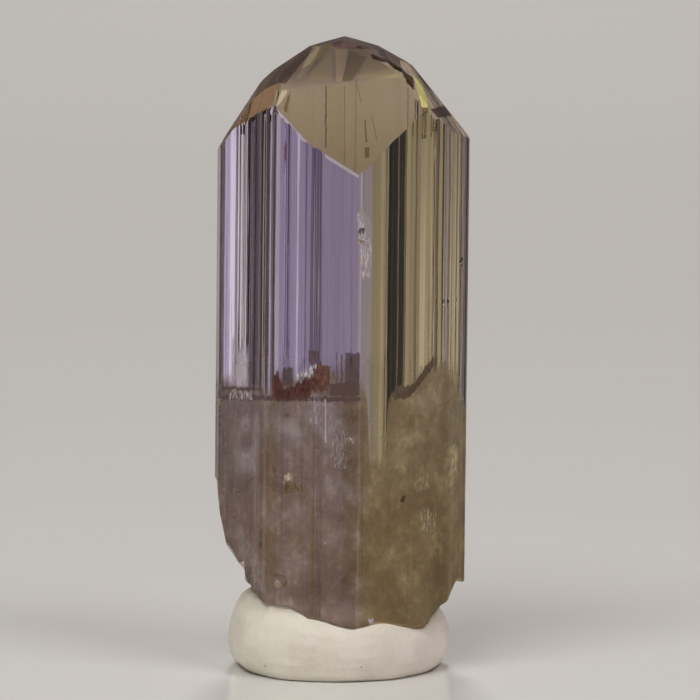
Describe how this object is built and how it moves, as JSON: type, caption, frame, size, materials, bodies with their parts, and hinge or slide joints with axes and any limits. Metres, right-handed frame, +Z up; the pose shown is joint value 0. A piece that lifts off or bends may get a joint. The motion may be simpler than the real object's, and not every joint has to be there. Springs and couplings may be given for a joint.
{
  "type": "tanzanite crystal on mineral putty",
  "caption": "Striated violet and olive tanzanite crystal with a faceted dome and a rough broken base, standing upright in a squashed ball of white display putty.",
  "frame": {"origin": "on the ground under the middle of the outline", "axes": "+Z up along the crystal, the crystal's front faces -Y, +X to its right"},
  "size_m": [0.0104, 0.0088, 0.0257],
  "materials": {
    "tanzanite": "clear vitreous crystal, violet through the front left sides and olive through the right, cloudy towards the broken base",
    "putty": "matte off-white putty with fine dark specks"
  },
  "bodies": {
    "root": {"crystal": "tanzanite", "putty": "putty"}
  },
  "joints": []
}
